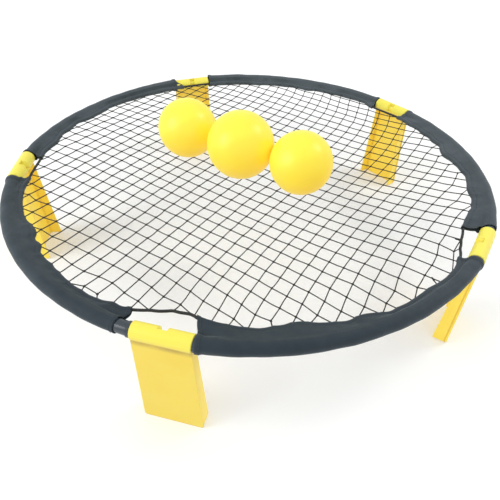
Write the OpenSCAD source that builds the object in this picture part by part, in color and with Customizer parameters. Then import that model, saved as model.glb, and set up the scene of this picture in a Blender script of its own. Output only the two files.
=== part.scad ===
// Roundnet set: a round net held taut in a ring of five tubes on five channel legs, with three balls.
// Millimetres, Z up. The origin is on the ground under the middle of the ring, and leg 1 is on -Y.

/* [Ring] */
// Radius of the rim tubes' centre line
ring_r = 445; // [420:5:470]
// Height of the rim tubes' centre line above the ground
rim_h = 192; // [160:2:220]
// Outer diameter of a rim tube
tube_d = 20; // [18:1:22]
// Wall thickness of a rim tube
tube_wall = 2; // [1:0.5:3]
// Length of the collar that stops a tube at its socket
collar_w = 5; // [4:0.5:8]
// Height of the collar over the tube
collar_rise = 1.2; // [1:0.2:1.6]

/* [Legs] */
// Length of the head
head_w = 85; // [76:1:96]
// Width of a leg at its foot
foot_w = 96; // [88:1:110]
// Outer diameter of the head
head_d = 26; // [26:0.5:30]
// Thickness of the solid web between the head's two sockets
web_w = 20; // [20:1:28]
// Width of the notch across the inner side of the head
notch_w = 16; // [10:1:17]
// Depth of the notch
notch_depth = 5.5; // [3:0.5:7]
// Radial play of a tube in its socket
socket_play = 0.05; // [0.02:0.01:0.1]
// Distance of the leg's outer face from the socket axis
face_out = 10; // [9.5:0.5:12]
// Thickness of the outer face
face_wall = 3; // [2:0.5:4]
// Thickness of a side flange
flange_wall = 2.4; // [2:0.2:3]
// Depth of a side flange at its top, from the outer face
flange_top = 16.5; // [15:0.5:20]
// Depth of a side flange at the foot, from the outer face
flange_foot = 25.5; // [22:0.5:34]
// Width and depth of the groove behind each long edge of the outer face
edge_groove = 2; // [1:0.2:2.2]
// Radius of the foot's two outer corners
foot_corner_r = 6; // [2:1:8]

/* [Sleeves] */
// Thickness of the folded fabric over a tube
fabric_t = 1.2; // [0.8:0.2:2]
// Distance from a tube's collar to the sleeve
sleeve_gap = 1; // [1:1:15]
// Thickness of the flat inner band
band_t = 3.2; // [2.6:0.2:4]
// Distance from the tube's centre line to where the band becomes flat
band_start = 20; // [18:1:22]

/* [Net] */
// Distance of the border cord's centre line inside the rim tubes' centre line
border_in = 28; // [26:1:36]
// Diameter of the border cord
border_d = 4.5; // [3.5:0.5:5]
// Diameter of a net cord
cord_d = 1.6; // [1.2:0.2:2.2]
// Distance between neighbouring net cords
mesh = 45; // [40:1:60]
// Turn of the net cords from the X axis, in degrees
net_turn = -19; // [-45:1:45]

/* [Balls] */
// Diameters of the three balls
ball_d = [113, 124, 113]; // [90:1:125]
// Where the first ball lies on the net
ball_1_at = [-133, 7]; // [-200:1:200]
// Where the second ball lies on the net
ball_2_at = [-12, -38]; // [-200:1:200]
// Where the third ball lies on the net
ball_3_at = [105, -60]; // [-200:1:200]
// Wall thickness of a ball
ball_wall = 2.5; // [2:0.5:4]
// Diameter of the filling valve's plug
valve_d = 7; // [5:0.5:9]

/* [Hidden] */
$fn = 96;

leg_count = 5;
ball_count = 3;

// The ring is cut into equal parts, one tube and one leg each.
step_a = 360 / leg_count;
first_leg_a = -90;

// A tube is an arc about the middle of the ring with a straight spigot at each end. Both spigots in a
// leg head lie on one line, the axis on which the leg turns. The collar holds the slight angle between
// a spigot and its arc.
tube_r = tube_d / 2;
head_r = head_d / 2;
collar_r = tube_r + collar_rise;
collar_play = 0.5;
collar_mid = head_w / 2 + collar_play + collar_w / 2;
collar_mid_a = asin(collar_mid / ring_r);
axis_r = ring_r * cos(collar_mid_a);
spigot_start = web_w / 2 + 1;

// The notch is cut into the solid web, from the top of the head to below the middle of its inner side.
notch_r = head_r - notch_depth;
notch_from_a = 95;
notch_span_a = 100;
head_chamfer = 1;

// The leg's top end lies inside the head, a little narrower than the head is long.
leg_top_w = head_w - 1;
groove_x = face_out - face_wall - edge_groove;
flange_inset = edge_groove / 2;
corner_rib = 2;

// The fabric runs off the tube along two straight flanks that close on the flat band.
fabric_r = tube_r + fabric_t;
flank_r = fabric_r - 0.5;
flank_a = 180 - atan2(band_t / 2, band_start) - acos(flank_r / norm([band_start, band_t / 2]));
flank_at = flank_r * [cos(flank_a), sin(flank_a)];
border_r = ring_r - border_in;
casing_r = border_d / 2 + fabric_t;
sleeve_a = asin((collar_mid + collar_w / 2 + sleeve_gap) / ring_r);

// The net's cords end on the border cord, and no cord runs through the middle of the ring.
net_r = border_r - border_d / 2;
cords_each_side = floor(net_r / mesh - 0.5);

ball_at = [ball_1_at, ball_2_at, ball_3_at];
ball_play = 0.3;
valve_lift_a = 20;
valve_turn_a = 100;

leg_yellow = [0.96, 0.83, 0.25];
ball_yellow = [1, 0.9, 0.2];
tube_black = [0.1, 0.12, 0.14];
fabric_slate = [0.25, 0.29, 0.33];
cord_black = [0.08, 0.08, 0.09];

// Places what is drawn for a leg on the X axis, with the rim tubes' centre line at height 0.
module at_leg(k) {
    translate([0, 0, rim_h]) rotate([0, 0, first_leg_a + step_a * (k - 1)]) children();
}

// A bar of radius r along the arc of the tube that runs from the leg on +X to the next leg.
module tube_arc(r) {
    rotate([0, 0, collar_mid_a]) rotate_extrude(angle = step_a - 2 * collar_mid_a)
        translate([ring_r, 0]) circle(r = r);
}

// Draws for both ends of that tube what is drawn for its first end.
module both_ends() {
    children();
    rotate([0, 0, step_a]) mirror([0, 1, 0]) children();
}

// A bar of radius r on the head's axis, between two distances from the middle of the leg.
module spigot_bar(r, from, to) {
    translate([axis_r, from, 0]) rotate([-90, 0, 0]) cylinder(r = r, h = to - from);
}

// The spigot ends just inside the collar, short of the arc, and its bore is a little narrower than
// the arc's bore.
module rim_tube(k) {
    inner_r = tube_r - tube_wall;
    collar_start = collar_mid - collar_w / 2;
    color(tube_black) at_leg(k) difference() {
        union() {
            tube_arc(tube_r);
            both_ends() {
                spigot_bar(tube_r, spigot_start, collar_start + 0.5);
                spigot_bar(collar_r, collar_start, collar_start + collar_w);
            }
        }
        tube_arc(inner_r);
        both_ends() spigot_bar(inner_r - 0.3, spigot_start - 1, collar_mid + 1);
    }
}

// A sector of a ring about the head's axis, wide at its mouth and narrow at its floor.
module notch() {
    mouth_r = head_r + 2;
    rotate([90, 0, 0]) rotate_extrude(angle = notch_span_a, start = notch_from_a)
        polygon([[notch_r, -notch_w / 4], [mouth_r, -notch_w / 2],
                 [mouth_r, notch_w / 2], [notch_r, notch_w / 4]]);
}

module head() {
    rotate([-90, 0, 0]) rotate_extrude()
        polygon([[0, -head_w / 2], [head_r - head_chamfer, -head_w / 2],
                 [head_r, head_chamfer - head_w / 2], [head_r, head_w / 2 - head_chamfer],
                 [head_r - head_chamfer, head_w / 2], [0, head_w / 2]]);
}

module sockets() {
    for (side = [-1, 1]) translate([0, side * web_w / 2, 0]) rotate([-90 * side, 0, 0])
        cylinder(r = tube_r + socket_play, h = head_w);
}

// A slab of the leg's front outline between two distances from the socket axis. Its long sides are
// moved in by inset, and it goes on below the ground by below.
module leg_slab(from_x, to_x, inset, below = 0) {
    top = leg_top_w / 2 - inset;
    foot = top + (foot_w - leg_top_w) / 2 * (1 + below / rim_h);
    translate([from_x, 0, 0]) rotate([90, 0, 90]) linear_extrude(to_x - from_x)
        polygon([[top, 0], [foot, -rim_h - below], [-foot, -rim_h - below], [-top, 0]]);
}

// The outer face, the groove behind its long edges, and the solid between the flanges.
module leg_blank() {
    leg_slab(face_out - face_wall, face_out, 0);
    leg_slab(groove_x, face_out - face_wall, edge_groove);
    leg_slab(face_out - flange_foot, groove_x, flange_inset);
}

// The space between the flanges, with a rib left where each flange meets the face.
module leg_hollow() {
    inset = flange_inset + flange_wall;
    leg_slab(-flange_foot, face_out - face_wall - corner_rib, inset, 1);
    leg_slab(-flange_foot, face_out - face_wall, inset + corner_rib, 1);
}

// The channel seen from the side: its flanges get deeper towards the foot.
module channel_side() {
    polygon([[face_out, 0], [face_out - flange_top, 0],
             [face_out - flange_foot, -rim_h], [face_out, -rim_h]]);
}

module foot_corners() {
    axis_in = foot_corner_r - 0.3;
    for (side = [-1, 1]) translate([0, side * foot_w / 2, -rim_h]) rotate([90, 0, 90]) difference() {
        cube([2 * foot_corner_r, 2 * foot_corner_r, 3 * flange_foot], center = true);
        translate([-side * axis_in, axis_in, 0])
            cylinder(r = foot_corner_r, h = 4 * flange_foot, center = true);
    }
}

module channel() {
    difference() {
        intersection() {
            leg_blank();
            rotate([90, 0, 0]) linear_extrude(2 * foot_w, center = true) channel_side();
        }
        leg_hollow();
        foot_corners();
    }
}

module leg(k) {
    color(leg_yellow) at_leg(k) translate([axis_r, 0, 0]) difference() {
        union() {
            head();
            channel();
        }
        notch();
        sockets();
    }
}

// The fabric round a tube, its flat band and the casing round the border cord, about the tube's centre.
module sleeve_section() {
    circle(r = fabric_r);
    polygon([flank_at, [-band_start, band_t / 2], [-border_in, band_t / 2],
             [-border_in, -band_t / 2], [-band_start, -band_t / 2], [flank_at[0], -flank_at[1]]]);
    translate([-border_in, 0]) circle(r = casing_r);
}

module net_sleeve(k) {
    color(fabric_slate) at_leg(k) difference() {
        rotate([0, 0, sleeve_a]) rotate_extrude(angle = step_a - 2 * sleeve_a)
            translate([ring_r, 0]) sleeve_section();
        tube_arc(tube_r);
        border_ring();
        // The net's cords pass between the band's two layers to the border cord.
        translate([0, 0, -cord_d / 2]) cylinder(r = border_r, h = cord_d);
    }
}

module border_ring() {
    rotate_extrude() translate([border_r, 0]) circle(r = border_d / 2);
}

module net_border_cord() {
    color(cord_black) translate([0, 0, rim_h]) border_ring();
}

module net_mesh() {
    color(cord_black) translate([0, 0, rim_h - cord_d / 2]) linear_extrude(cord_d) intersection() {
        circle(r = net_r, $fn = 360);
        rotate(net_turn) for (i = [-cords_each_side : cords_each_side + 1]) {
            translate([(i - 0.5) * mesh, 0]) square([cord_d, 2 * ring_r], center = true);
            translate([0, (i - 0.5) * mesh]) square([2 * ring_r, cord_d], center = true);
        }
    }
}

// Places a ball's parts about its middle, and lies the ball on the net.
module at_ball(k) {
    rest_h = rim_h + cord_d / 2 + ball_play + ball_d[k - 1] / 2;
    translate([ball_at[k - 1][0], ball_at[k - 1][1], rest_h]) children();
}

// Turns +Z to the direction in which the valve looks.
module at_valve() {
    rotate([0, 0, valve_turn_a]) rotate([0, 90 - valve_lift_a, 0]) children();
}

module ball(k) {
    outer_r = ball_d[k - 1] / 2;
    color(ball_yellow) at_ball(k) difference() {
        sphere(r = outer_r);
        sphere(r = outer_r - ball_wall);
        at_valve() cylinder(d = valve_d, h = outer_r + 1);
    }
}

module ball_valve(k) {
    outer_r = ball_d[k - 1] / 2;
    plug_h = 9;
    collar_h = 5;
    needle_d = 1.6;
    color(tube_black) at_ball(k) difference() {
        intersection() {
            sphere(r = outer_r);
            at_valve() union() {
                translate([0, 0, outer_r - plug_h]) cylinder(d = valve_d, h = plug_h + 1);
                translate([0, 0, outer_r - plug_h]) cylinder(d = valve_d + 5, h = collar_h);
            }
        }
        at_valve() translate([0, 0, outer_r - 3]) cylinder(d = needle_d, h = 4);
    }
}

for (k = [1 : leg_count]) {
    rim_tube(k);
    leg(k);
    net_sleeve(k);
}
net_mesh();
net_border_cord();
for (k = [1 : ball_count]) {
    ball(k);
    ball_valve(k);
}
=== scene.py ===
"""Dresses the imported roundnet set: fabric sleeves, knotted net, border cord, plastic and rubber."""
import math

import bpy
import numpy as np
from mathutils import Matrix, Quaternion, Vector


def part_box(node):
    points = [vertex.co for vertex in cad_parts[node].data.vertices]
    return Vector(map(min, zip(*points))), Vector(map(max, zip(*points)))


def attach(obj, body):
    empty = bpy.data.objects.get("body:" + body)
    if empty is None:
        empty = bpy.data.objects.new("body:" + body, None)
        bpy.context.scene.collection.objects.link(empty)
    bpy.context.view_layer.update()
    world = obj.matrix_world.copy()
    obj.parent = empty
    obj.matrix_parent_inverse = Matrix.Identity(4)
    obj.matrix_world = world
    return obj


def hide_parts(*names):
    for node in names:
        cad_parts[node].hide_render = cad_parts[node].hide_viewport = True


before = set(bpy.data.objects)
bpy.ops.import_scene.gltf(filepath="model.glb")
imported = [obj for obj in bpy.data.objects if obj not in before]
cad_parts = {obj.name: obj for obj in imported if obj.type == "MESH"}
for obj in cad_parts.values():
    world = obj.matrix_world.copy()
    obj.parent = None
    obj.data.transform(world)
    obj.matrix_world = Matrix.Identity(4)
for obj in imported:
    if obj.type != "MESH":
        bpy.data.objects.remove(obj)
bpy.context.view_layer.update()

MM = 0.001
rng = np.random.default_rng(7)

# ---------------------------------------------------------------- sizes, in metres, from the frame
LEGS = 5
BALLS = 3
LEG_STEP = math.tau / LEGS
FIRST_LEG = -math.pi / 2

border_low, border_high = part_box("net_border_cord")
border_d = border_high.z - border_low.z
border_r = (border_high.x - border_low.x) / 2 - border_d / 2
net_z = (border_low.z + border_high.z) / 2
tube_r = 10 * MM
# The third tube crosses the ring's rearmost point.
ring_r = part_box("rim_tube_3")[1].y - tube_r


def leg_angle(k):
    """The angle of leg k about the middle of the ring; leg 6 is leg 1 again."""
    return FIRST_LEG + LEG_STEP * (k - 1)


# ---------------------------------------------------------------- helpers
def add_object(name, data):
    made = bpy.data.objects.new(name, data)
    bpy.context.scene.collection.objects.link(made)
    return made


def wrapped(angle):
    """The same direction, as an angle from -180 to 180 degrees."""
    return (angle + math.pi) % math.tau - math.pi


def distances(line):
    """How far along a line each of its points lies."""
    return np.concatenate([[0], np.cumsum(np.linalg.norm(np.diff(line, axis=0), axis=1))])


def smooth_step(value, low, high):
    """From 0 at low to 1 at high, and level beyond them."""
    t = np.clip((value - low) / (high - low), 0, 1)
    return t * t * (3 - 2 * t)


def waves(seed, lengths, height):
    """A smooth random height along a line: the sum of sines of the given wavelengths."""
    dice = np.random.default_rng(seed)
    parts = [(math.tau / length, dice.uniform(0, math.tau), dice.uniform(0.5, 1))
             for length in lengths]
    total = sum(p[2] for p in parts)
    return lambda x: height / total * sum(a * np.sin(k * x + phase) for k, phase, a in parts)


# ---------------------------------------------------------------- camera
# Fitted to the ring, the leg heads and the feet in the photo.
CAMERA_AT = Vector((0.2016, -0.7805, net_z + 0.4765))
CAMERA_LOOKS_AT = Vector((0.0811, -0.2509, net_z))
CAMERA_ROLL = math.radians(2.075)

camera = add_object("camera", bpy.data.cameras.new("camera"))
camera.data.sensor_width = 36
camera.data.lens = 33.42
camera.data.shift_x = -0.0214
camera.data.shift_y = 0.0069
camera.data.clip_start = 0.02
camera.location = CAMERA_AT
camera.rotation_mode = "QUATERNION"
camera.rotation_quaternion = (
    (CAMERA_LOOKS_AT - CAMERA_AT).to_track_quat("-Z", "Y") @ Quaternion((0, 0, 1), CAMERA_ROLL)
)
bpy.context.scene.camera = camera
bpy.context.scene.view_settings.view_transform = "Standard"


# ---------------------------------------------------------------- node graphs
class Graph:
    """A node tree and short ways to add nodes to it."""

    def __init__(self, tree):
        self.nodes, self.links = tree.nodes, tree.links

    def feed(self, socket, value):
        """Gives a socket a number or a colour, or links it to another node's output."""
        if isinstance(value, bpy.types.NodeSocket):
            self.links.new(value, socket)
        else:
            socket.default_value = value

    def node(self, kind, **settings):
        """Adds a node. Each setting is one of its properties or one of its inputs."""
        made = self.nodes.new("ShaderNode" + kind)
        for key, value in settings.items():
            if hasattr(made, key):
                setattr(made, key, value)
            else:
                self.feed(made.inputs[key.replace("_", " ")], value)
        return made

    def place(self, kind="Object"):
        """What a material starts from: "Object", which is in metres, "UV" or "Normal"."""
        return self.node("TexCoord").outputs[kind]

    def split(self, vector):
        """The X, Y and Z of a vector."""
        return self.node("SeparateXYZ", Vector=vector).outputs

    def noise(self, vector, scale, detail, roughness=0.55):
        made = self.node("TexNoise", Vector=vector, Scale=scale, Detail=detail, Roughness=roughness)
        return made.outputs["Fac"]

    def ramp(self, value, low, high, to=(0.0, 1.0)):
        """Carries the range from low to high over to the range given, and goes no further."""
        made = self.node("MapRange", clamp=True, Value=value, From_Min=low, From_Max=high,
                         To_Min=to[0], To_Max=to[1])
        return made.outputs["Result"]

    def math(self, operation, *values):
        made = self.node("Math", operation=operation)
        for socket, value in zip(made.inputs, values):
            self.feed(socket, value)
        return made.outputs[0]

    def vector(self, operation, first, second):
        made = self.node("VectorMath", operation=operation)
        self.feed(made.inputs[0], first)
        self.feed(made.inputs[1], second)
        return made.outputs["Value" if operation in ("DISTANCE", "DOT_PRODUCT") else "Vector"]

    def seen_rays(self):
        """1 for camera, glossy and transmission rays, 0 for the others."""
        path = self.node("LightPath").outputs
        shiny = self.math("MAXIMUM", path["Is Glossy Ray"], path["Is Transmission Ray"])
        return self.math("MAXIMUM", path["Is Camera Ray"], shiny)


class Shader(Graph):
    """A Principled material."""

    def __init__(self, name, **inputs):
        self.material = bpy.data.materials.new(name)
        self.material.use_nodes = True
        super().__init__(self.material.node_tree)
        self.bsdf = self.nodes["Principled BSDF"]
        self.set(**inputs)

    def set(self, **inputs):
        for key, value in inputs.items():
            self.feed(self.bsdf.inputs[key.replace("_", " ")], value)

    def colours(self, factor, first, second):
        """Mixes two colours, each of them given as numbers or taken from another node."""
        made = self.node("Mix", data_type="RGBA", Factor=factor)
        sockets = [socket for socket in made.inputs if socket.type == "RGBA"]
        for socket, colour in zip(sockets, (first, second)):
            self.feed(socket, (*colour, 1) if isinstance(colour, tuple) else colour)
        return [socket for socket in made.outputs if socket.type == "RGBA"][0]

    def bump(self, height, strength, distance, **normal):
        """Adds fine relief, over that of another node where its output is given as Normal."""
        made = self.node("Bump", Height=height, Strength=strength, Distance=distance, **normal)
        self.set(Normal=made.outputs["Normal"])
        return made.outputs["Normal"]


# ---------------------------------------------------------------- light and floor
FLOOR_HALF = 12.0        # half the width of the floor
FLOOR_DROP = 0.5 * MM    # keeps the floor clear of the soles


def lamp(name, at, size, watts):
    """A soft box that looks at the middle of the net."""
    light = bpy.data.lights.new(name, "AREA")
    light.shape = "RECTANGLE"
    light.size, light.size_y = size
    light.energy = watts
    box = add_object(name, light)
    box.location = at
    box.rotation_mode = "QUATERNION"
    box.rotation_quaternion = (Vector((0, 0, net_z)) - Vector(at)).to_track_quat("-Z", "Y")


def make_world(light_level):
    """Even white light, and a white background where it is seen."""
    world = bpy.data.worlds.new("studio")
    bpy.context.scene.world = world
    world.use_nodes = True
    g = Graph(world.node_tree)
    background = g.nodes["Background"].inputs
    background["Color"].default_value = (1, 1, 1, 1)
    g.feed(background["Strength"], g.ramp(g.seen_rays(), 0, 1, to=(light_level, 1)))


def make_floor(colour, middle, lifts):
    """A plain pale floor that keeps the shadow. Where it is seen, it is lifted to white, by the
    amounts given for distances from the middle under and behind the net. It is lifted least there,
    which paints a soft shade under and behind the net. From below it can be seen through."""
    mesh = bpy.data.meshes.new("floor")
    corners = [(x * FLOOR_HALF, y * FLOOR_HALF, 0) for x, y in ((-1, -1), (1, -1), (1, 1), (-1, 1))]
    mesh.from_pydata(corners, [], [(0, 1, 2, 3)])
    floor = add_object("floor", mesh)
    floor.location.z = -FLOOR_DROP
    material = bpy.data.materials.new("floor")
    material.use_nodes = True
    mesh.materials.append(material)
    g = Graph(material.node_tree)
    g.nodes.clear()
    # painted shade: the lift grows away from the middle, so the floor seen near it stays darker
    reach = g.vector("DISTANCE", g.place(), middle)
    lift = lifts[0][1]
    for (near, low), (far, high) in zip(lifts, lifts[1:]):
        lift = g.math("ADD", lift, g.ramp(reach, near, far, to=(0, high - low)))
    glow = g.node("Emission", Strength=g.math("MULTIPLY", g.seen_rays(), lift))
    lit = g.node("AddShader")
    g.feed(lit.inputs[0], g.node("BsdfDiffuse", Color=(*colour, 1)).outputs[0])
    g.feed(lit.inputs[1], glow.outputs[0])
    either = g.node("MixShader", Fac=g.node("NewGeometry").outputs["Backfacing"])
    g.feed(either.inputs[1], lit.outputs[0])
    g.feed(either.inputs[2], g.node("BsdfTransparent").outputs[0])
    g.node("OutputMaterial", Surface=either.outputs[0])


lamp("window_left", at=(-2.0, -1.6, 1.5), size=(1.4, 1.6), watts=32)
lamp("window_right", at=(1.5, 0.7, 1.8), size=(0.7, 0.7), watts=11)
make_world(light_level=0.8)
make_floor(colour=(0.82, 0.83, 0.83), middle=(-0.03, 0.2, 0),
           lifts=((0.45, 0.17), (0.75, 0.28), (2.0, 0.45)))


# ---------------------------------------------------------------- materials
# The scale of a noise is in steps per metre.
def leg_plastic():
    """Glossy plastic from an injection mould: slightly cloudy, with painted light that makes the head
    greener, dull where it is rubbed, and with painted shade that makes it browner in the crease under
    the head and in the other hollows. A faint yellow-orange painted glow on all but the outer face
    stands in for the light that comes through the leg's slim walls."""
    s = Shader("leg_plastic", Roughness=0.4, Specular_IOR_Level=0.45, Subsurface_Weight=0.12,
               Subsurface_Radius=(0.004, 0.002, 0.0004), Subsurface_Scale=1.0,
               Emission_Color=(1.0, 0.68, 0.08, 1))
    where = s.place()
    height = s.split(where)[2]
    cloud = s.ramp(s.noise(where, 9, detail=2), 0.3, 0.7)
    unpainted_tone = s.colours(cloud, (0.90, 0.67, 0.07), (0.93, 0.73, 0.10))
    # painted light: the head is painted greener and lighter than the rest of the leg, as if lit from
    # above
    head = s.ramp(height, net_z - 9 * MM, net_z + 4 * MM)
    colour_with_painted_head_light = s.colours(head, unpainted_tone, (0.94, 0.83, 0.105))
    # painted shade: browner in the crease under the head and, through the ambient occlusion, in the
    # other hollows
    from_crease = s.math("ABSOLUTE", s.math("SUBTRACT", height, net_z - 10.5 * MM))
    painted_crease_shade = s.math("MULTIPLY", s.ramp(from_crease, 1 * MM, 8 * MM, to=(1.0, 0.0)),
                   s.ramp(s.noise(where, 26, detail=4, roughness=0.65), 0.3, 0.72, to=(0.3, 0.9)))
    hollow = s.node("AmbientOcclusion", samples=6, Distance=5 * MM)
    painted_shade_in_hollows = s.math("MAXIMUM", painted_crease_shade, s.ramp(hollow.outputs["AO"], 0.45, 0.9, to=(0.4, 0.0)))
    # painted glow: a faint emission on the faces that do not face outwards and lie below the head
    outward = s.vector("MULTIPLY", where, (1 / ring_r, 1 / ring_r, 0))
    facing = s.vector("DOT_PRODUCT", s.place("Normal"), outward)
    painted_glow = s.math("MULTIPLY", s.ramp(facing, 0.2, 0.8, to=(1.0, 0.0)),
                  s.ramp(head, 0.0, 0.6, to=(1.0, 0.0)))
    s.set(Base_Color=s.colours(painted_shade_in_hollows, colour_with_painted_head_light, (0.50, 0.34, 0.06)),
          Roughness=s.ramp(s.noise(where, 60, detail=5, roughness=0.7), 0.4, 0.75, to=(0.34, 0.5)),
          Emission_Strength=s.math("MULTIPLY", painted_glow, 0.17))
    rounded = s.node("Bevel", samples=4, Radius=0.8 * MM).outputs["Normal"]
    s.bump(s.noise(where, 900, detail=2), strength=0.12, distance=0.1 * MM, Normal=rounded)
    return s.material


def rim_plastic():
    """Smooth black plastic, faintly cloudy and finely grained."""
    s = Shader("rim_plastic", Roughness=0.22, Specular_IOR_Level=0.55)
    where = s.place()
    cloud = s.ramp(s.noise(where, 30, detail=3), 0.3, 0.7)
    s.set(Base_Color=s.colours(cloud, (0.022, 0.034, 0.046), (0.036, 0.052, 0.066)))
    s.bump(s.noise(where, 400, detail=3), strength=0.08, distance=0.1 * MM)
    return s.material


def cloth():
    """Closely woven slate-grey fabric, with painted light: darker at the front of the ring and lighter,
    like sheen, towards the back. UV runs along the sleeve and round it, in metres."""
    s = Shader("sleeve_fabric", Roughness=0.62, Specular_IOR_Level=0.25, Sheen_Weight=0.15,
               Sheen_Roughness=0.45, Sheen_Tint=(0.8, 0.92, 1.0, 1))
    thread = 0.9 * MM
    along, across, _ = s.split(s.place("UV"))
    warp = s.math("SINE", s.math("MULTIPLY", along, math.tau / thread))
    weft = s.math("SINE", s.math("MULTIPLY", across, math.tau / thread))
    where = s.place()
    worn = s.ramp(s.noise(where, 14, detail=4, roughness=0.6), 0.3, 0.72)
    # painted light: the front colours are darker and the back ones lighter, standing in for the sheen
    # at the back
    painted_sheen_to_back = s.ramp(s.split(where)[1], -0.42, 0.35)
    fresh = s.colours(worn, (0.0165, 0.028, 0.037), (0.025, 0.039, 0.05))
    pale = s.colours(worn, (0.057, 0.073, 0.084), (0.072, 0.091, 0.104))
    s.set(Base_Color=s.colours(painted_sheen_to_back, fresh, pale),
          Roughness=s.ramp(s.noise(where, 90, detail=3), 0.3, 0.7, to=(0.55, 0.7)))
    slack = s.bump(s.noise(where, 55, detail=3), strength=0.25, distance=0.8 * MM)
    s.bump(s.math("MULTIPLY", warp, weft), strength=0.35, distance=0.12 * MM, Normal=slack)
    return s.material


def twine(name, dark, pale, pitch, strands):
    """Twisted cord. UV runs along the cord in metres and round it from 0 to 1."""
    s = Shader(name, Roughness=0.6, Specular_IOR_Level=0.35)
    along, around, _ = s.split(s.place("UV"))
    turns = s.math("ADD", s.math("MULTIPLY", along, 1 / pitch), around)
    lay = s.math("ABSOLUTE", s.math("SINE", s.math("MULTIPLY", turns, math.pi * strands)))
    # painted shade: the cord is darker in the grooves between the strands and paler on their crowns
    s.set(Base_Color=s.colours(s.ramp(lay, 0.0, 0.8), dark, pale))
    s.bump(lay, strength=0.6, distance=0.3 * MM)
    return s.material


def ball_rubber():
    """Smooth satin rubber, faintly cloudy, with painted shade of a warmer yellow below and towards the
    front right. A faint painted glow, strongest there, stands in for the light that comes through the
    slim wall."""
    s = Shader("ball_rubber", Roughness=0.36, Specular_IOR_Level=0.42, Subsurface_Weight=0.1,
               Subsurface_Radius=(0.02, 0.009, 0.001), Subsurface_Scale=1.0,
               Emission_Color=(1.0, 0.72, 0.05, 1))
    where = s.place()
    # painted shade: a warmer yellow below and towards the front right, with a painted glow that is
    # strongest there
    painted_shade_side = (0.52, -0.42, -0.74)
    painted_ball_shade = s.ramp(s.vector("DOT_PRODUCT", s.place("Normal"), painted_shade_side), -0.1, 0.85)
    cloud = s.ramp(s.noise(where, 12, detail=3), 0.3, 0.7)
    unpainted_tone = s.colours(cloud, (1.0, 0.84, 0.05), (1.0, 0.89, 0.08))
    s.set(Base_Color=s.colours(painted_ball_shade, unpainted_tone, (1.0, 0.66, 0.04)),
          Roughness=s.ramp(s.noise(where, 70, detail=4), 0.3, 0.7, to=(0.32, 0.42)),
          Emission_Strength=s.ramp(painted_ball_shade, 0.2, 1.0, to=(0.06, 0.23)))
    s.bump(s.noise(where, 700, detail=2), strength=0.1, distance=0.1 * MM)
    return s.material


def valve_rubber():
    """Dull black rubber with a fine grain."""
    s = Shader("valve_rubber", Roughness=0.6, Specular_IOR_Level=0.3)
    where = s.place()
    s.set(Base_Color=s.colours(s.noise(where, 200, detail=3), (0.02, 0.02, 0.022), (0.04, 0.04, 0.045)))
    s.bump(s.noise(where, 1500, detail=2), strength=0.2, distance=0.1 * MM)
    return s.material


LEG_PLASTIC = leg_plastic()
RIM_PLASTIC = rim_plastic()
CLOTH = cloth()
NET_TWINE = twine("net_cord", dark=(0.006, 0.007, 0.007), pale=(0.022, 0.024, 0.024),
                  pitch=4 * MM, strands=2)
BORDER_TWINE = twine("border_cord", dark=(0.008, 0.009, 0.010), pale=(0.026, 0.029, 0.031),
                     pitch=9 * MM, strands=4)
STITCH_TWINE = twine("stitch_thread", dark=(0.02, 0.025, 0.03), pale=(0.07, 0.08, 0.09),
                     pitch=1.2 * MM, strands=2)
BALL_RUBBER = ball_rubber()
VALVE_RUBBER = valve_rubber()


# ---------------------------------------------------------------- meshes
def mesh_object(name, points, faces, material, uvs):
    """A smoothly shaded mesh, with a UV place for each of its points."""
    mesh = bpy.data.meshes.new(name)
    mesh.from_pydata([tuple(p) for p in points], [], [tuple(f) for f in faces])
    layer = mesh.uv_layers.new(name="cloth")
    loops = np.empty(len(mesh.loops), np.int32)
    mesh.loops.foreach_get("vertex_index", loops)
    layer.data.foreach_set("uv", np.asarray(uvs, np.float32)[loops].ravel())
    mesh.polygons.foreach_set("use_smooth", [True] * len(mesh.polygons))
    mesh.materials.append(material)
    mesh.update()
    return add_object(name, mesh)


class Tubes:
    """Collects tubes of round section along given lines, to become one mesh."""

    def __init__(self, sides):
        self.sides = sides
        self.points, self.faces, self.uvs = [], [], []

    def add(self, line, radii, closed=False, relief=None):
        """Adds one tube. The relief is a factor on its radius, by the distance along the line and
        the angle round it."""
        line = np.asarray(line, float)
        n, m = len(line), self.sides
        ahead = np.roll(line, -1, 0) - np.roll(line, 1, 0)
        if not closed:
            ahead[0], ahead[-1] = line[1] - line[0], line[-1] - line[-2]
        ahead /= np.linalg.norm(ahead, axis=1)[:, None]
        side = np.cross(ahead, (0, 0, 1.0))
        side[np.linalg.norm(side, axis=1) < 1e-6] = (1, 0, 0)
        side /= np.linalg.norm(side, axis=1)[:, None]
        up = np.cross(side, ahead)
        turn = np.arange(m) / m * math.tau
        radii = np.broadcast_to(np.asarray(radii, float), (n,))[:, None] * np.ones((n, m))
        along = distances(line)
        if relief is not None:
            radii = radii * relief(along[:, None], turn[None, :])
        ring = (line[:, None] + radii[..., None] * (np.cos(turn)[None, :, None] * side[:, None]
                                                  + np.sin(turn)[None, :, None] * up[:, None]))
        first = len(self.points)
        self.points.extend(ring.reshape(-1, 3))
        self.uvs.extend((a, t / math.tau) for a in along for t in turn)
        for i in range(n if closed else n - 1):
            a, b = first + i * m, first + (i + 1) % n * m
            self.faces.extend((a + j, a + (j + 1) % m, b + (j + 1) % m, b + j) for j in range(m))
        if not closed:
            self.faces.append(tuple(first + j for j in reversed(range(m))))
            self.faces.append(tuple(first + (n - 1) * m + j for j in range(m)))

    def build(self, name, material):
        return mesh_object(name, self.points, self.faces, material, self.uvs)


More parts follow.
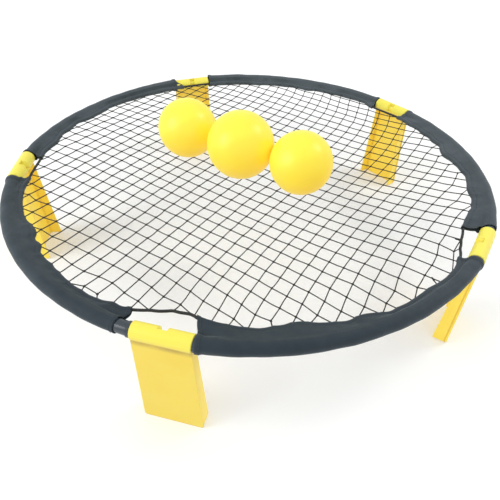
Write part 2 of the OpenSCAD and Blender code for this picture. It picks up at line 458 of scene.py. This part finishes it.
# ---------------------------------------------------------------- net
# A square grid of knots, turned, then pulled out of square by smooth shifts. Each shift grows with
# these powers of x and y from the middle. It is given in millimetres, where x and y are NET_REACH.
KNOT_PITCH = 25.34 * MM
NET_TURN = math.radians(-21.16)
NET_OFFSET = (-8.6 * MM, 7.3 * MM)
NET_REACH = 400 * MM
NET_PULLS = {
    (2, 0): (-6, 28),
    (1, 1): (24, 1),
    (0, 2): (11, 49),
    (3, 0): (11, 26),
    (2, 1): (-10, -7),
    (1, 2): (-39, 20),
    (0, 3): (-34, 17),
    (4, 0): (11, 0),
    (3, 1): (1, -3),
    (2, 2): (-38, -65),
    (1, 3): (-49, 16),
    (0, 4): (-19, -19),
}
NET_MESHES = 17.2        # no knot lies more meshes than this from the middle one
CORD_R = 0.9 * MM
KNOT_HALF = 2 * MM       # half the length of a knot
KNOTS_END = 10 * MM      # from the border cord to the nearest knots
PAIR_GAP = 15 * MM       # cords that meet the border closer together than this share an anchor
LONG_END = 1.2 * KNOT_PITCH  # cords that run further than this to the border are long ones
SHORT_SLANT, LONG_SLANT = 0.6, 0.45  # how much of its slant a short or a long one keeps there
BORDER_PULL = 1.35       # the border's pull on a knot, where that of another knot is 1
# Two tails of cord are left where the net was tied off: the angle, the length and the way aside.
TAILS = ((math.radians(-35.5), 15 * MM, 3 * MM), (math.radians(-18.8), 11 * MM, -5 * MM))

# How far the border cord runs outside its circle, in millimetres, at these angles in degrees. The
# sleeves pull on it unevenly, and it bends sharply where it leaves them beside the legs.
CORD_PATH = (
    (-104.7, 7), (-102, 1), (-100, 3), (-98.5, -1), (-94.9, -10), (-91.2, -18), (-87.3, -21),
    (-85.5, -14), (-82.9, -9), (-78, -3), (-73.5, 1), (-70, -4), (-66, -8), (-63, -1), (-60, 3),
    (-57, 6), (-54, 2), (-52, 5), (-49.5, 12), (-44, 12), (-37.5, 9), (-34, 13), (-30, 13),
    (-26, 9), (-24.3, 4), (-19.3, -6), (-13.7, -11), (-9, -8), (-6, -4), (-3, 1), (1.5, 3),
    (3.5, -2), (6, 0), (9, 4), (12, 7), (15, 1), (18, 0), (20, -4), (22.5, -11), (25, -9),
    (28.5, 3), (31.5, -3), (34, 2), (37, -3), (39.5, 2), (43.5, -2), (47, 2), (52.7, -2.5),
    (57.9, -4), (61, 0), (64, 11), (73, 13), (75.5, 5), (78, 8), (81, 13), (84, 0), (87, 4),
    (91, 12), (96, 13), (97.5, 7), (100.5, 13), (102.3, 2), (105.5, 11), (110, 13), (117, 13),
    (129, 11), (136, 13), (157, 13), (160, 6), (165, 3), (168, 5), (170.5, 13), (173, 11),
    (175, 6), (178.5, 10), (181, 5), (183.5, -1), (187, 3), (190, 5), (194.4, 0), (200.5, 1),
    (204, 3), (207, 7), (212, 8), (220, 6), (223, 0), (226.5, -6), (229.5, 3), (232, -2),
    (235, 7), (240, 4), (247, 8), (252, 8), (255.3, 7),
)


def path_at(angle):
    """The radius at which the border cord runs, apart from its scallops."""
    angles, pulls = np.radians([p[0] for p in CORD_PATH]), np.array([p[1] for p in CORD_PATH]) * MM
    near = [np.interp(np.asarray(angle, float) + s * MM / border_r, angles, pulls, period=math.tau)
            for s in (-6, -3, 0, 3, 6)]
    return border_r + np.mean(near, axis=0)


def knot_at(i, j):
    """Where knot (i, j) lies before the border pulls on it."""
    base = complex(j, i) * KNOT_PITCH * complex(math.cos(NET_TURN), math.sin(NET_TURN))
    base += complex(*NET_OFFSET)
    u, v = base.real / NET_REACH, base.imag / NET_REACH
    dx = sum(u**a * v**b * pull[0] for (a, b), pull in NET_PULLS.items()) * MM
    dy = sum(u**a * v**b * pull[1] for (a, b), pull in NET_PULLS.items()) * MM
    return np.array([base.real + dx, base.imag + dy])


def border_crossing(knot, step):
    """Where a straight cord from a knot, in the direction of step, would cross the border cord."""
    spot = knot
    a, b = step @ step, 2 * knot @ step
    for _ in range(4):
        radius = max(path_at(math.atan2(spot[1], spot[0])), np.hypot(*knot) + MM)
        c = knot @ knot - radius ** 2
        spot = knot + step * (-b + math.sqrt(b * b - 4 * a * c)) / (2 * a)
    return spot


def exit_angle(knot, beyond):
    """Where the cord from a knot towards one beyond the border meets the border. A cord that would
    slant towards it is pulled straighter out, and a long one more so."""
    spot = border_crossing(knot, beyond - knot)
    straight = math.atan2(knot[1], knot[0])
    slant = wrapped(math.atan2(spot[1], spot[0]) - straight)
    return straight + slant * (SHORT_SLANT if np.hypot(*(spot - knot)) < LONG_END else LONG_SLANT)


def lay_net():
    """Returns the knots' places, the links between them, the links to the border, each as a knot
    and its anchor's angle, and all the anchors. Neighbouring cords that meet the border close
    together share an anchor."""
    span = range(-int(NET_MESHES), int(NET_MESHES) + 1)
    knots = {(i, j): knot_at(i, j) for i in span for j in span if math.hypot(i, j) < NET_MESHES}
    knots = {key: p for key, p in knots.items()
             if np.hypot(*p) < path_at(math.atan2(p[1], p[0])) - KNOTS_END}
    links, exits = [], []
    for (i, j), p in knots.items():
        for di, dj in ((1, 0), (-1, 0), (0, 1), (0, -1)):
            other = (i + di, j + dj)
            if other not in knots:
                exits.append((exit_angle(p, knot_at(*other)), (i, j)))
            elif di + dj == 1:
                links.append(((i, j), other))
    exits.sort(key=lambda cord: cord[0])
    # the round of exits is opened at its widest gap, so that no group is cut in two
    gaps = [(exits[(n + 1) % len(exits)][0] - cord[0]) % math.tau for n, cord in enumerate(exits)]
    cut = int(np.argmax(gaps)) + 1
    exits = exits[cut:] + [(angle + math.tau, key) for angle, key in exits[:cut]]
    groups = []
    for cord in exits:
        if groups and (cord[0] - groups[-1][0][0]) * border_r < PAIR_GAP and len(groups[-1]) < 3:
            groups[-1].append(cord)
        else:
            groups.append([cord])
    middles = [wrapped(sum(cord[0] for cord in group) / len(group)) for group in groups]
    ends = [(key, middle) for group, middle in zip(groups, middles) for _, key in group]
    return knots, links, ends, np.array(sorted(middles))


knots, links, ends, anchors = lay_net()
# How deep the border cord's scallops are, one after the other, as shares of the deepest.
BULGES = 0.1 + np.random.default_rng(11).uniform(0, 1, 97) ** 1.5


def border_at(angle):
    """The border cord's radius: it is drawn inwards at each anchor and bulges out between them."""
    angle = wrapped(np.asarray(angle, float))
    ring = np.concatenate([anchors - math.tau, anchors, anchors + math.tau])
    spot = np.searchsorted(ring, angle)
    before, after = ring[spot - 1], ring[spot]
    gap = (after - before) * border_r
    near = np.minimum(angle - before, after - angle) * border_r
    bulge = np.minimum(0.08 * gap, 3 * MM) * BULGES[spot % len(BULGES)]
    return path_at(angle) - bulge / 2 + bulge * (1 - (1 - np.clip(2 * near / gap, 0, 1)) ** 2)


def on_border(angle):
    """The place on the border cord at an angle."""
    r = float(border_at(angle + 1e-6))
    return np.array([r * math.cos(angle), r * math.sin(angle)])


def settle(rounds, loose_from, step):
    """Evens out the pull of the four cords at each knot near the border; the middle stays."""
    pulls = {key: [] for key in knots}
    for a, b in links:
        pulls[a].append(("knot", b))
        pulls[b].append(("knot", a))
    for key, angle in ends:
        pulls[key].append(("border", angle))
    for _ in range(rounds):
        fresh = {}
        for key, p in knots.items():
            loose = smooth_step(np.hypot(*p), loose_from, border_r)
            total, weight = np.zeros(2), 0.0
            for kind, other in pulls[key]:
                q, pull = (knots[other], 1.0) if kind == "knot" else (on_border(other), BORDER_PULL)
                total, weight = total + pull * q, weight + pull
            fresh[key] = p + step * loose * (total / weight - p)
        knots.update(fresh)


settle(rounds=8, loose_from=330 * MM, step=0.6)
for key in knots:
    knots[key] = knots[key] + rng.normal(0, 0.45 * MM, 2)


def in_space(flat, height=0.0):
    """A place on the plan of the net as a point, at a height over the net."""
    return np.array([flat[0], flat[1], net_z + height])


def make_tail(angle, length, aside):
    """The line of a short end of cord that is left at the border and curves aside and up."""
    out = np.array([math.cos(angle), math.sin(angle)])
    across = np.array([-out[1], out[0]])
    start = on_border(angle)
    return [in_space(start - out * length * t + across * aside * t * t, height=5 * MM * t)
            for t in np.linspace(0, 1, 7)]


def make_net():
    """The cords of the net with two tails, and the knots."""
    cords, ties = Tubes(6), Tubes(6)
    height = {key: rng.normal(0, 0.25 * MM) for key in knots}
    t = np.linspace(0, 1, 5)[:, None]
    across = np.linspace(-1, 1, 5)[:, None]

    def run(a, b):
        """A cord from a to b that hangs slightly slack and not quite straight."""
        slack = np.array([*rng.normal(0, 0.25 * MM, 2), -abs(rng.normal(0, 0.3 * MM))])
        cords.add(a + (b - a) * t + slack * np.sin(t * math.pi), CORD_R)

    for a, b in links:
        run(in_space(knots[a], height[a]), in_space(knots[b], height[b]))
    for key, angle in ends:
        run(in_space(knots[key], height[key]), in_space(on_border(angle)))
    # a knot is two short thick lumps, one along each cord, that cross over each other
    for (i, j), p in knots.items():
        spot = in_space(p, height[(i, j)])
        for other, lift in (((i + 1, j), 0.35 * MM), ((i, j + 1), -0.35 * MM)):
            along = knots.get(other, knot_at(*other)) - p
            along = np.array([*along, 0]) / np.linalg.norm(along)
            lump = spot + along * across * KNOT_HALF + np.array([0, 0, lift]) * (1 - across * across)
            ties.add(lump, CORD_R * np.array([0.9, 1.5, 1.75, 1.5, 0.9]))
    for tail in TAILS:
        cords.add(make_tail(*tail), CORD_R * np.array([1, 1, 1, 1.1, 1.7, 1.5, 0.5]))
    net = cords.build("knotted_net", NET_TWINE)
    tie = ties.build("net_knots", NET_TWINE)
    for piece in (net, tie):
        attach(piece, "ring")
    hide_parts("net_mesh")


def make_border_cord():
    """Four strands laid round each other."""
    strands, lay = 4, 11 * MM
    angle = np.arange(0, math.tau, 1.1 * MM / border_r)
    # the cord is too stiff for the cusps at the anchors, so they are averaged out
    r = np.mean([border_at(angle + s * MM / border_r) for s in (-4, -2.5, -1, 1, 2.5, 4)], axis=0)
    line = np.stack([r * np.cos(angle), r * np.sin(angle), np.full_like(angle, net_z)], 1)
    cord = Tubes(16)
    cord.add(line, border_d / 2, closed=True,
             relief=lambda s, t: 0.9 + 0.13 * np.abs(np.sin((s / lay * math.tau + t) * strands / 2)))
    made = cord.build("braided_border_cord", BORDER_TWINE)
    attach(made, "ring")
    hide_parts("net_border_cord")


make_net()
make_border_cord()

# ---------------------------------------------------------------- sleeves
cord_x = border_r - ring_r
CLOTH_R = 11.3 * MM      # outer radius round the tube
CLOTH_T = 0.9 * MM       # thickness of the cloth
BEAD_R = 3.8 * MM        # radius of the casing round the border cord
BEAD_TURN = math.acos((CLOTH_R - BEAD_R) / -cord_x)  # half the angle that the casing covers
SEAM_DIP = 0.4 * MM      # how far the seam beside the casing sinks in
SEAM_W = 1.6 * MM        # and half the width of its dip
FLANK_SAG = 0.6 * MM     # how far the cloth's flanks sag between the tube and the border cord
FLAT_END = 1.6 * MM      # how far from the middle a flank lies where the two lie flat at the ends
FLATNESS = 0.85          # how nearly the flanks lie flat there, from 0 to 1
HEM_AT = 5 * MM          # from the casing to the seam that closes it
HEM_W = 5.5 * MM         # from a sleeve's end to the seam of its hem
STITCH = 3 * MM          # length of a stitch
STITCH_PITCH = 4.2 * MM  # from one stitch to the next
STITCH_R = 0.3 * MM
HEAD_END = 42.5 * MM     # from the middle of a leg to the end of its head
ROW_PITCH = 2.2 * MM     # the mesh of a sleeve: the step along the ring
COLUMNS = 80             # and the number of steps round it

# Where each sleeve's two ends are cut, measured from the middle of its leg along the ring, at the
# outer side, over the top of the tube, on the band and at the border cord, in millimetres.
START_CUTS = {1: (45, 45, 38, 31), 2: (56, 47, 37, 35), 3: (46, 46, 42, 38), 4: (45, 43.5, 31, 25),
              5: (46, 46, 42, 36)}
END_CUTS = {1: (45, 46, 50, 53), 2: (46, 46, 42, 38), 3: (46, 46, 46, 45), 4: (46, 46, 42, 37),
            5: (65, 64, 59, 68)}
# Where those four places lie, outwards from the tube's centre.
CUT_STATIONS = (12 * MM, -11 * MM, -20 * MM, -38 * MM)
# How far the cloth stands off the top of the tube, in millimetres, by the angle in degrees.
REAR_SLACK = ((58, 0), (68, 1.5), (90, 2.5), (110, 3.4), (120, 4), (138, 3), (158, 0.5), (165, 0))


def sleeve_profile():
    """The folded cloth's outline about the tube's centre, from the border cord over the top to the
    outer side and back below: points (x outwards, z up) and the distance run, in metres. Two flanks
    lead straight from the tube to the casing round the border cord, which a seam closes."""
    lift = math.pi - BEAD_TURN
    bead = np.linspace(math.pi, lift, 12)
    arc = np.linspace(lift, 0, 26)
    casing = np.stack([cord_x + BEAD_R * np.cos(bead), BEAD_R * np.sin(bead)], 1)
    round_tube = CLOTH_R * np.stack([np.cos(arc), np.sin(arc)], 1)
    t = np.linspace(0, 1, 30)[1:-1, None]
    flank = casing[-1] + (round_tube[0] - casing[-1]) * t
    run = t * np.linalg.norm(round_tube[0] - casing[-1])
    dip = FLANK_SAG * np.sin(t * math.pi) + SEAM_DIP * np.exp(-((run - HEM_AT) / SEAM_W) ** 2)
    flank = flank - dip * np.array([math.cos(lift), math.sin(lift)])
    top = np.concatenate([casing, flank, round_tube])
    loop = np.concatenate([top, top[-2::-1] * (1, -1)])
    run = distances(loop)
    even = np.linspace(0, run[-1], COLUMNS + 1)[:-1]
    points = np.stack([np.interp(even, run, loop[:, 0]), np.interp(even, run, loop[:, 1])], 1)
    return points, even, run[-1]


def outward_normals(points):
    """The direction away from the cloth's inside, at each point of its outline."""
    ahead = np.roll(points, -1, 0) - np.roll(points, 1, 0)
    normal = np.stack([-ahead[:, 1], ahead[:, 0]], 1)
    return normal / np.linalg.norm(normal, axis=1)[:, None]


def stitch(threads, line, away):
    """Sews along a line on the cloth. Both ends of a stitch dip into it."""
    run = distances(line)
    for first in np.arange(1 * MM, run[-1] - STITCH, STITCH_PITCH):
        spots = first + np.array([0, 0.2, 0.8, 1.0]) * STITCH
        bar, up = (np.stack([np.interp(spots, run, v[:, i]) for i in range(3)], 1)
                   for v in (line, away))
        threads.add(bar + up * np.array([-0.4, 0.25, 0.25, -0.4])[:, None] * MM, STITCH_R)


def sew(k, cloth, normals, around, girth, length):
    """The seam that closes the casing, seen on both faces, and the seams of the two end hems."""
    rows, columns = cloth.shape[:2]
    angle = np.arctan2(cloth[..., 1], cloth[..., 0])
    out, up = np.broadcast_to(normals[:, 0], angle.shape), np.broadcast_to(normals[:, 1], angle.shape)
    away = np.stack([out * np.cos(angle), out * np.sin(angle), up], -1)
    threads = Tubes(5)
    on_seam = BEAD_R * BEAD_TURN + HEM_AT
    for run in (on_seam, girth - on_seam):
        column = np.argmin(abs(around - run))
        stitch(threads, cloth[:, column], away[:, column])
    hem = HEM_W / length * (rows - 1)
    for row in (hem, rows - 1 - hem):
        low, column = np.floor(row).astype(int), np.arange(columns)
        share = (row - low)[:, None]
        line = cloth[low, column] * (1 - share) + cloth[low + 1, column] * share
        stitch(threads, line, away[low, column])
    return threads.build(f"hem_stitches_{k}", STITCH_TWINE)


def cut_lines(k, x):
    """Where sleeve k starts and ends along the ring, for each place x of its outline."""
    start, end = (
        np.mean([np.interp(x + d * MM, CUT_STATIONS[::-1], np.array(cuts[k][::-1]) * MM)
                 for d in (-4, -2, 0, 2, 4)], axis=0) for cuts in (START_CUTS, END_CUTS))
    return start, ring_r * LEG_STEP - end


def anchor_folds(k, theta, x, upper, casing):
    """Folds that run out from each anchor over the flanks, narrow and low at the casing, and that
    differ above and below."""
    lift = np.zeros_like(theta)
    ring = np.concatenate([anchors, anchors + math.tau, anchors + 2 * math.tau])
    from_cord = np.clip(x - cord_x + 4 * MM, 0, 32 * MM)
    for spot in ring[(ring > leg_angle(k)) & (ring < leg_angle(k + 1))]:
        drift = rng.uniform(-0.3, 0.3) * from_cord
        power = rng.uniform(0.1, 1.0, 2) ** 2
        away = (theta - spot) * ring_r - drift
        lift += np.where(upper, *power) * 0.9 * MM * np.exp(-(away / (3 * MM + 0.25 * from_cord)) ** 2)
    return (lift - 0.25 * MM) * smooth_step(-x, 8 * MM, 20 * MM) * (1 - 0.8 * casing)


def two_layers(rows, m):
    """The faces of two layers, each of rows of m points closed round, joined at both ends."""
    faces = []
    layer = rows * m
    last_row = layer - m
    for a in range(0, last_row, m):
        b = a + m
        for j in range(m):
            n = (j + 1) % m
            faces.append((a + j, b + j, b + n, a + n))
            faces.append((layer + a + j, layer + a + n, layer + b + n, layer + b + j))
    for j in range(m):
        n = (j + 1) % m
        faces.append((j, n, layer + n, layer + j))
        faces.append((last_row + j, layer + last_row + j, layer + last_row + n, last_row + n))
    return faces


def make_sleeve(k):
    """One length of cloth folded round tube k, its two layers joined round the border cord."""
    profile, around, girth = sleeve_profile()
    normals = outward_normals(profile)
    x, z = profile[:, 0], profile[:, 1]
    start, end = cut_lines(k, x)
    rows = int((end.max() - start.min()) / ROW_PITCH)
    s = start + (end - start) * np.linspace(0, 1, rows)[:, None]
    theta = leg_angle(k) + s / ring_r
    from_end = np.minimum(s - start, end - s)
    to_head = np.minimum(s, ring_r * LEG_STEP - s) - HEAD_END
    # inner grows from the tube to the casing, and casing from there to the border cord
    inner = np.clip((-x - 8 * MM) / (-cord_x - BEAD_R - 8 * MM), 0, 1)
    casing = smooth_step(cord_x - x, -4 * MM, 1 * MM)

    lift = anchor_folds(k, theta, x, z >= 0, casing)
    # slow slackness of the cloth over the tube
    slow = waves(100 + k, (61 * MM, 97 * MM, 143 * MM), 0.35 * MM)
    cross = waves(200 + k, (38 * MM, 57 * MM, 83 * MM), 0.4 * MM)
    lift += (0.2 * MM + slow(s + 1.3 * around) * (1 - 0.5 * inner)
             + cross(s - 0.8 * around) * (1 - inner))
    # the two rear sleeves stand slack over the top of their tubes
    rise = np.interp(np.degrees(theta), *zip(*REAR_SLACK)) * MM
    lift += rise * smooth_step(z, 2 * MM, 9 * MM) * (1 - inner)
    # the hems at both ends are doubled, and stretch over the tube's stop collars
    lift += 0.5 * MM * (1 - smooth_step(from_end, 6 * MM, 7.5 * MM))
    lift += 1.0 * MM * (1 - smooth_step(to_head, 6 * MM, 13 * MM)) * (1 - inner)

    # the cloth follows the border cord, and towards the ends its two flanks lie closer together
    beside = x + (border_at(theta) - border_r) * inner
    closed = np.maximum(np.sqrt(np.maximum(CLOTH_R**2 - beside**2, 0)), FLAT_END) * np.sign(z)
    flat = (FLATNESS * (1 - smooth_step(from_end, 4 * MM, 45 * MM)) * (1 - casing)
            * smooth_step(-beside, 4 * MM, 9 * MM)
            * np.maximum(smooth_step(to_head, 0, 8 * MM), smooth_step(-beside, 14 * MM, 19 * MM)))
    bare = z + (closed - z) * flat

    def layer(offset):
        across = beside + (lift + offset) * normals[:, 0]
        height = bare + (lift + offset) * normals[:, 1]
        r = ring_r + across
        return np.stack([r * np.cos(theta), r * np.sin(theta), net_z + height], -1)

    outer, lining = layer(0.0), layer(-CLOTH_T)
    points = np.concatenate([outer.reshape(-1, 3), lining.reshape(-1, 3)])
    uv = np.stack([s, np.broadcast_to(around, s.shape)], -1).reshape(-1, 2)
    made = mesh_object(f"fabric_sleeve_{k}", points, two_layers(rows, COLUMNS), CLOTH,
                       np.concatenate([uv, uv]))
    seams = sew(k, outer, normals, around, girth, end - start)
    for piece in (made, seams):
        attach(piece, "ring")
    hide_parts(f"net_sleeve_{k}")


for k in range(1, LEGS + 1):
    make_sleeve(k)


# ---------------------------------------------------------------- CAD nodes that stay
def dress(node, material):
    """Gives a CAD node its material."""
    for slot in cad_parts[node].material_slots:
        slot.material = material


for k in range(1, LEGS + 1):
    dress(f"rim_tube_{k}", RIM_PLASTIC)
    dress(f"leg_{k}", LEG_PLASTIC)
for k in range(1, BALLS + 1):
    dress(f"ball_{k}", BALL_RUBBER)
    dress(f"ball_valve_{k}", VALVE_RUBBER)
